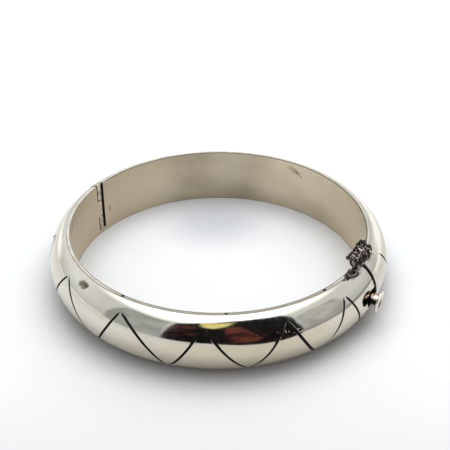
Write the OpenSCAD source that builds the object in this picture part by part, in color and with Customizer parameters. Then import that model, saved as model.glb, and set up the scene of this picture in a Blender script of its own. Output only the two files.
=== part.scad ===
// A hinged silver bangle with a half-round hollow band, engraved with a hand-cut
// zigzag, closed by a folded spring catch with a thumb button and guarded by a
// short safety chain. It lies on its side: z is up, the centre of the round
// opening is at x = 0 and y = 0, the clasp is at +x and the hinge near -x.
// Lengths are in millimetres and angles are in degrees about z from the clasp.

/* [Band] */
// inside diameter of the closed bangle
inner_d = 58; // [54:0.5:64]
// width of the band, which is its height when it lies on its side
band_w = 11.7; // [11:0.1:13]
// how far the crown of the dome stands out from the inner face
rise = 4.3; // [4.2:0.05:4.8]
// radius of the dome's shoulders beside the two rims
shoulder_r = 2.4; // [2:0.1:2.8]
// thickness of the dome's sheet
sheet_t = 0.6; // [0.5:0.05:0.7]
// thickness of the flat liner, whose edge shows as the rim
liner_t = 0.7; // [0.6:0.05:0.8]
// step from the inner face out to where the dome's shoulders start
lip = 0.2; // [0.1:0.05:0.3]

/* [Hinge] */
// outside diameter of the hinge tube
tube_d = 2.4; // [2.2:0.1:2.6]
// diameter of the hinge pin
pin_d = 0.9; // [0.8:0.05:1.1]
// angle at which the hinge stands, seen from above
hinge_az = 177.8; // [176:0.2:182]
// height of the split between the bottom and the middle knuckle
split_low = 4.1; // [3.6:0.1:4.4]
// height of the split between the middle and the top knuckle
split_high = 8; // [7.4:0.1:8.4]
// angle that the two end faces are bevelled by in all, outside the tube
relief = 26; // [20:1:34]
// thickness of the solid ends that hold the knuckles
hinge_block = 2.3; // [2:0.1:2.8]

/* [Clasp] */
// open seam between the two halves at the clasp
clasp_gap = 0.45; // [0.3:0.05:0.6]
// thickness of the end plates
plate_t = 0.8; // [0.6:0.05:0.9]
// distance from the middle of the seam to the thumb button
button_set = 1.7; // [1.6:0.1:2]
// diameter of the thumb button
button_d = 3.3; // [3:0.1:3.6]
// thickness of the thumb button
button_t = 0.75; // [0.6:0.05:0.9]
// diameter of the thumb button's stem
stem_d = 2; // [1.8:0.1:2.2]
// how far the back of the button stands off the crown
stem_show = 1.15; // [1.05:0.05:1.4]
// width of the spring tongue
tongue_w = 4.4; // [4:0.1:4.6]
// thickness of the tongue's strip
strip_t = 0.45; // [0.4:0.05:0.5]
// distance from the middle of the seam to the tongue's fold
tongue_l = 6.2; // [5.8:0.1:6.6]
// rise of the spring leaf from the fold to its free end
leaf_lift = 0.8; // [0.7:0.05:0.9]

/* [Safety chain] */
// length of a link over all
link_l = 1.8; // [1.7:0.05:2]
// width of a link over all
link_w = 1.4; // [1.3:0.05:1.6]
// thickness of the links' wire
link_wire = 0.28; // [0.24:0.01:0.3]
// thickness of the wire of the two end loops
loop_wire = 0.44; // [0.4:0.02:0.5]
// how far the slack chain reaches along the rim
chain_reach = 7.2; // [6:0.1:9]

/* [Engraving] */
// width of each engraved stroke
cut_w = 0.42; // [0.3:0.02:0.6]
// depth of each engraved stroke
cut_d = 0.22; // [0.15:0.01:0.3]
// height of the upper ends of the strokes, as a part of the band's width
peak_part = 0.868; // [0.84:0.005:0.88]
// height of the lower ends of the strokes, as a part of the band's width
foot_part = 0.128; // [0.11:0.005:0.16]

/* [Hidden] */
EPS = 0.01;
BEYOND = 1;                     // how far a cutter runs past what it cuts
FINE = 120;                     // facets of the band in the preview
ROUND = 48;                     // facets of small round pieces in the preview

// band, whose section is a crown tangent to two shoulders
rin = inner_d/2;
half_w = band_w/2;
dome_base = rin + lip;
bulge = rise - lip;
shoulder_z = half_w - shoulder_r;
crown_r = (shoulder_z*shoulder_z + bulge*bulge - shoulder_r*shoulder_r)/(2*(bulge - shoulder_r));
crown_mid = dome_base + bulge - crown_r;
meet = atan2(shoulder_z, dome_base - crown_mid);
rmax = rin + rise;
far = 3*rmax;

// hinge
axis_r = rin + tube_d/2;
knuckle_run = 0.12;             // clearance around a turning knuckle
pin_play = 0.05;                // radial clearance of the pin in its bores
pin_inset = 0.75;               // how far the pin's ends stand inside the rims
split = 0.2;                    // gap between two knuckles
hinge_gap = 0.3;                // gap between the end faces inside the axis
slot_half = tube_d/2 - 0.1;     // half width of the slot that the knuckles show in
slot_floor = 1;                 // height of the slot's closed bottom end

// clasp
tongue_off = 0.4;                       // gap between the liner and the tongue
tongue_r = rin + liner_t + tongue_off;  // inner face of the tongue's base leaf
fold_ri = strip_t/3;                    // inside radius of the fold
fold_part = 0.06;                       // parting between the fold and the spring leaf
leaf_r = tongue_r + strip_t + 2*fold_ri;
bite = 0.35;                            // how much of the leaf's end stands behind the slot's edge
catch_play = 0.13;                      // gap between the leaf's end and the end plate
leaf_end = clasp_gap/2 + plate_t + catch_play;
slot_out = leaf_r + leaf_lift + strip_t - bite;
slot_play = 0.2;                        // clearance of the tongue in its slot
button_az = -atan2(button_set, rmax);
stem_from = leaf_r + leaf_lift + strip_t/3;
stem_play = 0.25;                       // clearance of the stem in its notch
notch_w = stem_d + 2*stem_play;
notch_from = tongue_r + strip_t + 0.05;
vent_d = plate_t;

// safety chain: it lies in a loose coil above the rim, across the seam
coil_r = 2*link_l/3;                    // radius of the coil that the slack chain lies in
coil_mid_r = rin + 0.85*liner_t;
coil_mid_z = band_w + coil_r + link_w/2 - 0.02;
coil_from = 0.466*chain_reach;          // where the coil starts on the back half, along the arc
coil_turns = 2.86;
link_play = 0.26;                       // slack between two hooked links
loop_hook = 0.22;                       // how far a loop's wire stands inside the end link
loop_r = link_w/2 + 0.3;
coil_pitch = chain_reach/(2*PI*coil_turns);
coil_bend = coil_r + coil_pitch*coil_pitch/coil_r;
link_arc = 2*coil_bend*asin((link_l - 2*link_wire - link_play)/2/coil_bend)*PI/180;
link_count = round(2*PI*coil_turns*norm([coil_r, coil_pitch])/link_arc);

// engraving, a row for each peak: angle of the peak, angle of the foot of its left
// stroke and angle of the foot of its right stroke; 999 is a stroke left out
PEAK = 0; LEFT = 1; RIGHT = 2; NONE = 999;
front_cuts = [
    [-174.0, NONE,   -163.0],
    [-147.7, -160.6, -136.0],
    [-121.4, -133.2, -106.6],
    [ -93.9, -104.8,  -78.6],
    [ -66.2,  -77.4,  -52.6],
    [ -40.1,  -51.6,  -29.2],
    [ -16.7,  -27.0,   -7.9]];
back_cuts = [
    [ 12.0, NONE,    23.6],
    [ 38.4,  26.4,   50.2],
    [ 65.0,  53.4,   76.8],
    [ 91.8,  80.0,  103.6],
    [118.4, 106.8,  130.2],
    [145.2, 133.4,  156.8],
    [170.0, 160.2,  NONE]];
peak_z = peak_part*band_w;
foot_z = foot_part*band_w;
parted = 0.62*cut_w/rmax*180/PI;        // half of the gap between two strokes at their peak

function at(az, r, z) = [r*cos(az), r*sin(az), z];
function unit(v) = v/norm(v);

// radius of the dome's outer surface at height z
function dome_r(z) = let (u = abs(z - half_w))
    u <= crown_r*sin(meet) ? crown_mid + sqrt(crown_r*crown_r - u*u)
                           : dome_base + sqrt(max(0, shoulder_r*shoulder_r - pow(u - shoulder_z, 2)));

// the chain's route at u, from 0 on the back half to 1 on the front half
function coil_az(u) = (coil_from - chain_reach*u)/coil_mid_r*180/PI;
function coil_turn(u) = -90 - 360*coil_turns*u;
function coil_radial(u) = let (a = coil_az(u), f = coil_turn(u)) [cos(f)*cos(a), cos(f)*sin(a), sin(f)];
function coil(u) = at(coil_az(u), coil_mid_r, coil_mid_z) + coil_r*coil_radial(u);

// the middle of link k, the direction of its length and the direction of its width
function link_mid(k) = (coil((k + 1)/link_count) + coil(k/link_count))/2;
function link_x(k) = unit(coil((k + 1)/link_count) - coil(k/link_count));
function link_out(k) = let (x = link_x(k), r = coil_radial((k + 0.5)/link_count)) unit(r - (r*x)*x);
function link_y(k) =
    let (x = link_x(k), r = link_out(k), g = k % 2 == 0 ? 45 : -45) cos(g)*r + sin(g)*cross(x, r);

// children with their origin at o, their x axis along x and their y axis along y
module placed(o, x, y) {
    z = cross(x, y);
    multmatrix([[x[0], y[0], z[0], o[0]], [x[1], y[1], z[1], o[1]], [x[2], y[2], z[2], o[2]]]) children();
}

// the round, solid band from r_from outwards, with its dome inset by d; each shoulder
// meets the crown at one edge and overlaps it inside by the angle that overlap gives
module dome(d, r_from) {
    rotate_extrude($fn = FINE) intersection() {
        translate([crown_mid, half_w]) circle(r = crown_r - d, $fn = FINE);
        translate([crown_mid, half_w])
            polygon([[0, 0], [far*cos(meet), -far*sin(meet)], [2*far, 0], [far*cos(meet), far*sin(meet)]]);
        translate([r_from, -BEYOND]) square([far, band_w + 2*BEYOND]);
    }
    edge = (shoulder_r - d)*[cos(meet), sin(meet)];
    overlap = [0, -shoulder_r/4];
    outer = overlap + (edge - overlap)*far/shoulder_r;
    for (s = [-1, 1]) rotate_extrude($fn = FINE) intersection() {
        translate([dome_base, half_w + s*shoulder_z]) circle(r = shoulder_r - d, $fn = FINE/2);
        translate([dome_base, half_w + s*shoulder_z])
            polygon([
                [-far, s*overlap[1]], [-far, s*far], [0, s*far],
                [outer[0], s*outer[1]], [0, s*overlap[1]]]);
        translate([r_from, -BEYOND]) square([far, band_w + 2*BEYOND]);
    }
    // what the crown leaves open beside the inner face
    if (r_from < dome_base) rotate_extrude($fn = FINE)
        translate([r_from, shoulder_r]) square([dome_base + sheet_t - r_from, 2*shoulder_z]);
}

module liner() {
    rotate_extrude($fn = FINE) translate([rin, 0]) square([liner_t, band_w]);
}

// what lies on one side of the clasp and the hinge, s = -1 front or 1 back: it stands
// back from the end faces by at_clasp and at_hinge, and is bevelled outside the hinge
module side(s, at_clasp, at_hinge, bevelled) {
    turn = hinge_az - 180;
    clasp_face = clasp_gap/2 + at_clasp;
    hinge_face = hinge_gap/2 + at_hinge;
    bevel = bevelled ? tan(relief/2)*(far - axis_r) : 0;
    function past_hinge(r, d) = [-r*cos(turn) - s*d*sin(turn), -r*sin(turn) + s*d*cos(turn)];
    translate([0, 0, -BEYOND]) linear_extrude(band_w + 2*BEYOND) polygon([
        [far, s*clasp_face], [0, s*clasp_face],
        past_hinge(axis_r/2, hinge_face), past_hinge(axis_r, hinge_face),
        past_hinge(far, hinge_face + bevel),
        [-far, s*far], [far, s*far]]);
}

module hollow_half(s) {
    difference() {
        intersection() {
            union() { dome(0, rin + liner_t/2); liner(); }
            side(s, 0, 0, true);
        }
        intersection() {
            dome(sheet_t, rin + liner_t);
            side(s, plate_t, hinge_block, false);
        }
    }
}

// children with z along the hinge's axis and x outwards
module at_hinge() { rotate([0, 0, hinge_az]) translate([axis_r, 0, 0]) children(); }

// a knuckle, or what is cut for one that is grown by the running clearance
module knuckle(z0, z1, grown = 0) {
    at_hinge() translate([0, 0, z0]) cylinder(r = tube_d/2 + grown, h = z1 - z0, $fn = ROUND);
}

// the slot that the knuckles show in, seen from inside the bangle
module hinge_slot(z0, z1) {
    at_hinge() translate([-tube_d, -slot_half, z0]) cube([tube_d, 2*slot_half, z1 - z0]);
}

module pin_bore() {
    at_hinge() translate([0, 0, -BEYOND])
        cylinder(d = pin_d + 2*pin_play, h = band_w + 2*BEYOND, $fn = ROUND);
}

// one engraved stroke, from its peak to its foot, as a slab that stands on the dome
module stroke(az0, z0, az1, z1) {
    p = at(az0, dome_r(z0), z0);
    q = at(az1, dome_r(z1), z1);
    x = unit(q - p);
    out = unit((p + q)/2 - at((az0 + az1)/2, dome_base, half_w));
    placed((p + q)/2, x, unit(cross(out, x)))
        translate([-norm(q - p)/2, -cut_w/2, -rise/4]) cube([norm(q - p), cut_w, rise + BEYOND]);
}

module strokes(rows) {
    difference() {
        for (row = rows) {
            if (row[LEFT] != NONE) stroke(row[PEAK] - parted, peak_z, row[LEFT], foot_z);
            if (row[RIGHT] != NONE) stroke(row[PEAK] + parted, peak_z, row[RIGHT], foot_z);
        }
        dome(cut_d, rin);
    }
}

// one link: two half rings joined by two straight sides
module link() {
    straight = (link_l - link_w)/2;
    bend = (link_w - link_wire)/2;
    for (s = [0, 180]) rotate([0, 0, s]) {
        translate([straight, 0, 0]) rotate([0, 0, -90]) rotate_extrude(angle = 180, $fn = 32)
            translate([bend, 0]) circle(d = link_wire, $fn = 16);
        translate([-straight, bend, 0]) rotate([0, 90, 0]) cylinder(d = link_wire, h = 2*straight, $fn = 16);
    }
}

// the closed loop soldered on a rim, which an end link hooks through, s = 1 back or -1 front
module chain_loop(s) {
    k = s > 0 ? 0 : link_count - 1;
    x = link_x(k);
    placed(coil(s > 0 ? 0 : 1) + s*(loop_hook - loop_r)*x, x, cross(x, link_y(k)))
        rotate_extrude($fn = ROUND) translate([loop_r, 0]) circle(d = loop_wire, $fn = 24);
}

// the slot that the tongue goes in by, and the open notch that the button's stem stands in
module catch_seat() {
    translate([tongue_r - slot_play, -leaf_end - catch_play, half_w - tongue_w/2 - slot_play])
        cube([slot_out - tongue_r + slot_play, leaf_end + catch_play, tongue_w + 2*slot_play]);
    rotate([0, 0, button_az]) translate([notch_from, 0, half_w]) {
        rotate([0, 90, 0]) cylinder(d = notch_w, h = rise + BEYOND, $fn = ROUND);
        // a little narrower than the round end, so that its sides don't run along it
        mouth = notch_w - stem_play/2;
        translate([0, 0, -mouth/2]) cube([rise + BEYOND, button_set + BEYOND, mouth]);
    }
}

module front_half() {
    color([0.86, 0.85, 0.83]) difference() {
        union() {
            difference() {
                hollow_half(-1);
                knuckle(-BEYOND, split_low, knuckle_run);
                knuckle(split_high, band_w + BEYOND, knuckle_run);
                hinge_slot(slot_floor, split_low);
                hinge_slot(split_high, band_w + BEYOND);
            }
            knuckle(split_low + split/2, split_high - split/2);
            chain_loop(-1);
        }
        pin_bore();
        strokes(front_cuts);
        catch_seat();
    }
}

module back_half() {
    color([0.82, 0.81, 0.79]) {
        difference() {
            union() {
                difference() {
                    hollow_half(1);
                    knuckle(split_low, split_high, knuckle_run);
                    hinge_slot(slot_floor, band_w + BEYOND);
                }
                // the bottom and the top knuckle, filed flush with the rims
                intersection() {
                    union() {
                        knuckle(-BEYOND, split_low - split/2);
                        knuckle(split_high + split/2, band_w + BEYOND);
                    }
                    dome(0, rin - BEYOND);
                }
                chain_loop(1);
            }
            pin_bore();
            strokes(back_cuts);
            // a vent in the end plate lets the solder's gas out
            translate([tongue_r + 1.5*vent_d, 0, half_w + tongue_w/2 + 1.125*vent_d]) rotate([-90, 0, 0])
                cylinder(d = vent_d, h = clasp_gap/2 + plate_t + BEYOND, $fn = 24);
        }
        tongue_base();
    }
}

// the tongue's base leaf, soldered to the back half's end plate, and its fold
module tongue_base() {
    translate([tongue_r, -tongue_l, half_w - tongue_w/2]) {
        cube([strip_t, tongue_l + clasp_gap/2 + plate_t/2, tongue_w]);
        fold_ro = fold_ri + strip_t;
        translate([fold_ro, 0, 0]) intersection() {
            difference() {
                cylinder(r = fold_ro, h = tongue_w, $fn = ROUND);
                translate([0, 0, -BEYOND]) cylinder(r = fold_ri, h = tongue_w + 2*BEYOND, $fn = ROUND);
            }
            translate([-2*fold_ro, -4*fold_ro, 0]) cube([4*fold_ro, 4*fold_ro, tongue_w]);
        }
    }
}

module hinge_pin() {
    color([0.7, 0.69, 0.67]) at_hinge() translate([0, 0, pin_inset])
        cylinder(d = pin_d, h = band_w - 2*pin_inset, $fn = ROUND);
}

// the spring leaf and, soldered on it, the stem and the button with its two chamfers
module thumb_catch() {
    color([0.78, 0.72, 0.6]) {
        translate([leaf_r, 0, half_w - tongue_w/2]) linear_extrude(tongue_w) polygon([
            [0, fold_part - tongue_l], [strip_t, fold_part - tongue_l],
            [strip_t + leaf_lift, -leaf_end], [leaf_lift, -leaf_end]]);
        rotate([0, 0, button_az]) translate([stem_from, 0, half_w]) rotate([0, 90, 0]) {
            reach = rmax + stem_show - stem_from;
            inner_edge = button_t/5;
            outer_edge = 4*button_t/15;
            cylinder(d = stem_d, h = reach + inner_edge, $fn = ROUND);
            translate([0, 0, reach]) {
                cylinder(d1 = button_d - 2*inner_edge, d2 = button_d, h = inner_edge, $fn = ROUND);
                translate([0, 0, inner_edge])
                    cylinder(d = button_d, h = button_t - inner_edge - outer_edge, $fn = ROUND);
                translate([0, 0, button_t - outer_edge])
                    cylinder(d1 = button_d, d2 = button_d - 2*outer_edge, h = outer_edge, $fn = ROUND);
            }
        }
    }
}

module safety_chain() {
    color([0.3, 0.27, 0.25]) for (k = [0:link_count - 1]) placed(link_mid(k), link_x(k), link_y(k)) link();
}

front_half();
back_half();
hinge_pin();
thumb_catch();
safety_chain();
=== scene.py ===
"""A hinged silver bangle lying on its side on a pale floor, dressed for the render.

Shapes are built in millimetres and scaled to metres once, and angles are in degrees
about z, counted from the clasp at +x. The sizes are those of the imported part, but for
the button with its stem and notch, the chain's wire and the strokes' width.
"""
import math

import bmesh
import bpy
from mathutils import Matrix, Vector

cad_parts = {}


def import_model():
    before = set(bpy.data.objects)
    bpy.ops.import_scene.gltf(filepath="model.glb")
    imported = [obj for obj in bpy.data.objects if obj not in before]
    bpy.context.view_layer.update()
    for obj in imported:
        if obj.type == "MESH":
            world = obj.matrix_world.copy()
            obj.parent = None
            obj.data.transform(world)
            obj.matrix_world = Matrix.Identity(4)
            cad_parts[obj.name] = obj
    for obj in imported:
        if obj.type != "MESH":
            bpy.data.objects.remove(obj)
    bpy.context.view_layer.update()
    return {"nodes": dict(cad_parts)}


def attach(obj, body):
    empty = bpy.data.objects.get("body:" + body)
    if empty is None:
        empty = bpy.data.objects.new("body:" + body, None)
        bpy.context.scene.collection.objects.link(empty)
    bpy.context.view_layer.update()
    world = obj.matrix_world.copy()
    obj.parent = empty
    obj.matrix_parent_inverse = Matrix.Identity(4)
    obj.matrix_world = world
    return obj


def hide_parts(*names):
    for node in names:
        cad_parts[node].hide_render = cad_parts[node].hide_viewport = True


MM = 0.001

# band, whose section is a crown tangent to two shoulders
INNER_R = 29.0
BAND_W = 11.7
HALF_W = BAND_W/2
RISE = 4.3
OUTER_R = INNER_R + RISE
SHOULDER_R = 2.4
LINER_T = 0.7
DOME_BASE = INNER_R + 0.2
SHOULDER_Z = HALF_W - SHOULDER_R
BULGE = OUTER_R - DOME_BASE
CROWN_R = (SHOULDER_Z**2 + BULGE**2 - SHOULDER_R**2)/(2*(BULGE - SHOULDER_R))
CROWN_MID = DOME_BASE + BULGE - CROWN_R
MEET = math.atan2(SHOULDER_Z, DOME_BASE - CROWN_MID)
EDGE_ROUND = 0.09                # rounding of the liner's edges
SEAM_W = 0.1                     # the solder seam beside the rim
SEAM_D = 0.1
BEYOND = 1.0                     # how far a cutter stands out of what it cuts

# hinge
TUBE_R = 1.2
HINGE_AZ = 177.8
AXIS_R = INNER_R + TUBE_R
SPLIT_LOW = 4.1
SPLIT_HIGH = 8.0
SPLIT = 0.2
KNUCKLE_RUN = 0.12
HINGE_GAP = 0.3
RELIEF = 26.0
SLOT_HALF = TUBE_R - 0.1
SLOT_FLOOR = 1.0
FILED = 6.0                      # angle on each side of the hinge over which a knuckle is filed

# clasp
CLASP_GAP = 0.45
PLATE_T = 0.8
CATCH_PLAY = 0.13
LEAF_END = CLASP_GAP/2 + PLATE_T + CATCH_PLAY
BUTTON_SET = 1.7
BUTTON_AZ = -math.degrees(math.atan2(BUTTON_SET, OUTER_R))
BUTTON_R = 2.0
BUTTON_T = 0.42
BUTTON_BEVEL = 0.15
BUTTON_OUT = 1.4                 # from the dome to the middle of the worn button
BUTTON_LOW = 0.15                # how far the worn button hangs below its stem's middle
BUTTON_LEAN = 6.5                # how far its upper edge leans outwards
BUTTON_TURN = 3.0
BUTTON_MID_R = OUTER_R + BUTTON_OUT
BUTTON_MID_Z = HALF_W - BUTTON_LOW
STEM_R = 1.1
NOTCH_R = STEM_R + 0.75
MOUTH_HALF = NOTCH_R - 0.06      # half the width of the notch's open side
TONGUE_W = 4.4
TONGUE_L = 6.2
STRIP_T = 0.45
TONGUE_R = INNER_R + 1.1
FOLD_RI = STRIP_T/3
LEAF_R = TONGUE_R + STRIP_T + 2*FOLD_RI
LEAF_LIFT = 0.8
FOLD_PART = 0.06
SLOT_OUT = LEAF_R + LEAF_LIFT + STRIP_T - 0.35
SLOT_PLAY = 0.2
NOTCH_FROM = TONGUE_R + STRIP_T + 0.05

# safety chain
LINK_L = 1.8
LINK_W = 1.4
LINK_WIRE = 0.38
LOOP_WIRE = 0.44
CHAIN_REACH = 7.2
COIL_R = 2*LINK_L/3
COIL_MID_R = INNER_R + 0.85*LINER_T
COIL_MID_Z = BAND_W + COIL_R + LINK_W/2 - 0.02
COIL_FROM = 0.466*CHAIN_REACH
COIL_TURNS = 2.86
LOOP_HOOK = 0.22
LOOP_R = LINK_W/2 + 0.3
LINK_COUNT = 23

# engraving: a row for each peak, with its left and right foot and, where a stroke differs
# from the rest, how far its middle bows towards greater angles, how broad it is beside the
# others and over what length its foot fades
CUT_W = 0.46
CUT_D = 0.22
END_WEAR = {"clasp": 0.26, "hinge": 0.12}   # width of the dark worn edge at a half's ends
END_DROP = 0.12
CUT_THIN = 0.15                  # share of its width that a stroke keeps at its ends
BURR = 0.014                     # height of the burnished lip beside a cut
LIP_W = 0.08
PEAK_Z = 0.868*BAND_W
FOOT_Z = 0.128*BAND_W
PARTED = math.degrees(0.52*CUT_W/OUTER_R)
PEAK_TAPER = 0.8
FOOT_TAPER = 0.9
FRONT_CUTS = [
    {"peak": -174.0, "right": -163.0, "bow_right": 0.6},
    {"peak": -147.7, "left": -160.6, "right": -136.0, "bow_left": 0.4},
    {"peak": -121.4, "left": -133.2, "right": -106.6, "bow_left": 0.4, "bow_right": 1.2},
    {"peak": -93.9, "left": -104.8, "right": -78.6, "bow_left": 0.5, "bow_right": 2.2,
     "broad_right": 1.2},
    {"peak": -66.2, "left": -77.4, "right": -52.6, "bow_left": 0.2, "bow_right": -0.2},
    {"peak": -40.1, "left": -51.6, "right": -29.2, "bow_left": 0.5, "bow_right": -0.2,
     "broad_right": 1.2},
    {"peak": -16.7, "left": -27.0, "right": -7.9, "bow_left": 0.8, "bow_right": 0.3, "fade_left": 6.0}]
BACK_CUTS = [
    {"peak": 12.0, "right": 23.6, "bow_right": -0.6},
    {"peak": 38.4, "left": 26.4, "right": 50.2, "bow_right": 0.8},
    {"peak": 65.0, "left": 53.4, "right": 76.8, "bow_left": 0.4},
    {"peak": 91.8, "left": 80.0, "right": 103.6, "bow_right": 1.0},
    {"peak": 118.4, "left": 106.8, "right": 130.2},
    {"peak": 145.2, "left": 133.4, "right": 156.8, "bow_right": 0.5},
    {"peak": 170.0, "left": 160.2, "bow_left": 0.3}]

# the spots that make one olive stain on the dome: angle, height, radius, size, soft edge,
# depth of colour
STAINS = [
    (-114.4, 10.76, 31.17, 0.3, 0.6, 0.62),
    (-113.0, 10.79, 31.15, 0.45, 0.6, 0.75),
    (-111.6, 10.87, 31.07, 0.35, 0.5, 0.85),
    (-110.8, 10.9, 31.03, 0.15, 0.4, 0.8)]

# small dents on the dome that catch the light: angle, height, radius, size, soft edge
DENTS = [
    (-49.6, 9.0, 32.5, 0.05, 0.2),
    (-48.6, 8.9, 32.55, 0.1, 0.25),
    (-47.6, 8.85, 32.6, 0.05, 0.2),
    (-43.2, 8.9, 32.55, 0.12, 0.25),
    (-40.4, 8.75, 32.6, 0.12, 0.3),
    (-39.6, 8.6, 32.7, 0.1, 0.25),
    (-37.5, 8.85, 32.6, 0.12, 0.25),
    (-36.4, 8.4, 32.8, 0.1, 0.25)]

# nicks in the front half's rim: angle, size, soft edge
RIM_NICKS = [(-22.0, 0.25, 0.25), (-96.4, 0.2, 0.3), (-59.0, 0.15, 0.25)]
# painted shade and reflection of the chain, partly grime, on the rims beneath it: distance from the seam,
# size
CHAIN_SHADE_AND_GRIME = [(-4.4, 0.5), (-2.6, 0.9), (0.0, 0.9), (2.6, 0.9), (4.4, 0.6)]
CHAIN_SHADE_SOFT = 0.9
CHAIN_SHADE_DEPTH = 0.75
BEAD_AZ = -58.0                  # a bead of solder on the front rim
BEAD_R = 0.32
BEAD_IN = 0.45                   # from the inner face to the bead's middle

# marks on the liner: angle, height, size, soft edge, depth of colour
LINER_MARKS = [
    (85.2, 10.3, 0.35, 0.7, 0.3),
    (83.4, 10.0, 0.3, 0.5, 0.38),
    (82.0, 9.64, 0.15, 0.35, 0.6),
    (81.2, 9.4, 0.12, 0.28, 0.8),
    (80.5, 9.18, 0.12, 0.28, 0.85),
    (79.8, 8.95, 0.14, 0.3, 0.9),
    (-154.7, 10.3, 0.2, 0.35, 0.6),
    (172.8, 5.3, 0.05, 0.3, 0.3),
    (172.4, 4.7, 0.1, 0.3, 0.45),
    (172.2, 4.2, 0.05, 0.3, 0.35)]

# how finely the shapes are meshed
DOME_ROWS = 61
LINER_ROWS = 9
GAP_COLUMNS = 8
GROOVE_LINES = 5
ROUND = 72
WIRE_SIDES = 16
LINK_STEPS = 40
LOOP_STEPS = 48
SHARP = 35.0                     # edges of a small solid above this angle stay sharp
ON_DOME = 0.006                  # how far off the dome a point may lie and count as its own

# material slots of the two halves
DOME, GROOVE, SEAM, RIM, LINER, CUT, KNUCKLE, FITTING, LOOP = range(9)

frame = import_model()


def at(az, r, z):
    a = math.radians(az)
    return Vector((r*math.cos(a), r*math.sin(a), z))


def turned(degrees, axis="Z"):
    return Matrix.Rotation(math.radians(degrees), 4, axis)


def smooth(x):
    x = min(1.0, max(0.0, x))
    return x*x*(3 - 2*x)


def steps(a, b, count):
    return [a + (b - a)*k/(count - 1) for k in range(count)]


# the dome's section, where the arc length s runs from the middle of the crown to a rim
CROWN_S = CROWN_R*MEET
EDGE_E = math.acos((INNER_R + LINER_T + SEAM_W/2 - DOME_BASE)/SHOULDER_R)
DOME_S = CROWN_S + SHOULDER_R*(EDGE_E - MEET)


def section(s):
    """Radius, height and the normal's elevation of the dome at arc length s."""
    if abs(s) <= CROWN_S:
        e = s/CROWN_R
        return CROWN_MID + CROWN_R*math.cos(e), HALF_W + CROWN_R*math.sin(e), e
    side = math.copysign(1, s)
    e = side*(MEET + (abs(s) - CROWN_S)/SHOULDER_R)
    return DOME_BASE + SHOULDER_R*math.cos(e), HALF_W + side*SHOULDER_Z + SHOULDER_R*math.sin(e), e


def s_at_height(z):
    u = z - HALF_W
    if abs(u) <= CROWN_R*math.sin(MEET):
        return CROWN_R*math.asin(u/CROWN_R)
    e = math.asin((abs(u) - SHOULDER_Z)/SHOULDER_R)
    return math.copysign(CROWN_S + SHOULDER_R*(e - MEET), u)


S_PEAK = s_at_height(PEAK_Z)
S_FOOT = s_at_height(FOOT_Z)


def dome_normal(p):
    """The dome's own outward normal at a point, or None where the point stands off it."""
    r = math.hypot(p[0], p[1])
    u, w = r - CROWN_MID, p[2] - HALF_W
    e = math.atan2(w, u)
    off = math.hypot(u, w) - CROWN_R
    if abs(e) > MEET:
        u, w = r - DOME_BASE, abs(w) - SHOULDER_Z
        off = math.hypot(u, w) - SHOULDER_R
        e = math.copysign(math.atan2(w, u), e)
    if abs(off) > ON_DOME:
        return None
    return math.cos(e)*p[0]/r, math.cos(e)*p[1]/r, math.sin(e)


def liner_normal(p):
    """The liner's and its rounded edges' own normal at a point."""
    r = math.hypot(p[0], p[1])
    side = 1 if p[2] > HALF_W else -1
    u = min(0.0, r - INNER_R - EDGE_ROUND)
    w = max(0.0, abs(p[2] - HALF_W) - HALF_W + EDGE_ROUND)
    size = math.hypot(u, w) or 1.0
    return u/size*p[0]/r, u/size*p[1]/r, side*w/size


# engraved strokes

def strokes(rows):
    """Every stroke in order: angles of its peak and foot, bow, taper of its foot, width."""
    found = []
    for row in rows:
        for side, sign in (("left", -1), ("right", 1)):
            if side in row:
                found.append((row["peak"] + sign*PARTED, row[side], row.get("bow_" + side, 0.0),
                              row.get("fade_" + side, FOOT_TAPER), CUT_W*row.get("broad_" + side, 1.0)))
    return found


def groove_lines(stroke, s):
    """The five lines of a stroke's groove at s: angle and height above the dome."""
    az0, az1, bow, fade, wide = stroke
    run = S_PEAK - S_FOOT
    t = (S_PEAK - s)/run
    inside = min(1.0, max(0.0, t))
    az = az0 + (az1 - az0)*inside + bow*4*inside*(1 - inside)
    r = section(s)[0]
    slope = math.radians(az1 - az0 + bow*4*(1 - 2*inside))/run*r
    length = run*math.hypot(1, slope)
    depth = smooth(t*length/PEAK_TAPER)*smooth((1 - t)*length/fade)
    across = math.degrees(math.hypot(1, slope)/r)
    half = wide/2*(CUT_THIN + (1 - CUT_THIN)*depth)
    offsets = (-half - LIP_W, -half, 0, half, half + LIP_W)
    heights = (0.0, BURR*depth, -CUT_D*depth, BURR*depth, 0.0)
    return [(az + o*across, h) for o, h in zip(offsets, heights)]


# the two halves

def end_angles(side, r):
    """Angles of a half's first and last column at radius r, side -1 front or 1 back."""
    clasp = side*math.degrees(math.asin(CLASP_GAP/2/r))
    back = HINGE_GAP/2 + math.tan(math.radians(RELIEF/2))*max(0.0, r - AXIS_R)
    hinge = HINGE_AZ - side*math.degrees(math.asin(back/r))
    return (clasp, hinge) if side > 0 else (hinge - 360, clasp)


def end_columns(side, r):
    """The first two and the last two angles of a half: its end faces and their worn edges."""
    first, last = end_angles(side, r)
    clasp, hinge = (math.degrees(END_WEAR[end]/r) for end in ("clasp", "hinge"))
    start, stop = (clasp, hinge) if side > 0 else (hinge, clasp)
    return first, first + start, last - stop, last


def dome_columns(side, lines, s):
    """Angle and height of every column of the dome where it crosses s."""
    first, start, stop, last = end_columns(side, section(s)[0])
    columns = [(first, -END_DROP), (start, 0.0)]
    for group in [groove_lines(line, s) for line in lines] + [[(stop, 0.0)]]:
        columns += [(a, 0.0) for a in steps(columns[-1][0], group[0][0], GAP_COLUMNS + 2)[1:-1]]
        columns += group
    return columns + [(last, -END_DROP)]


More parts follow.
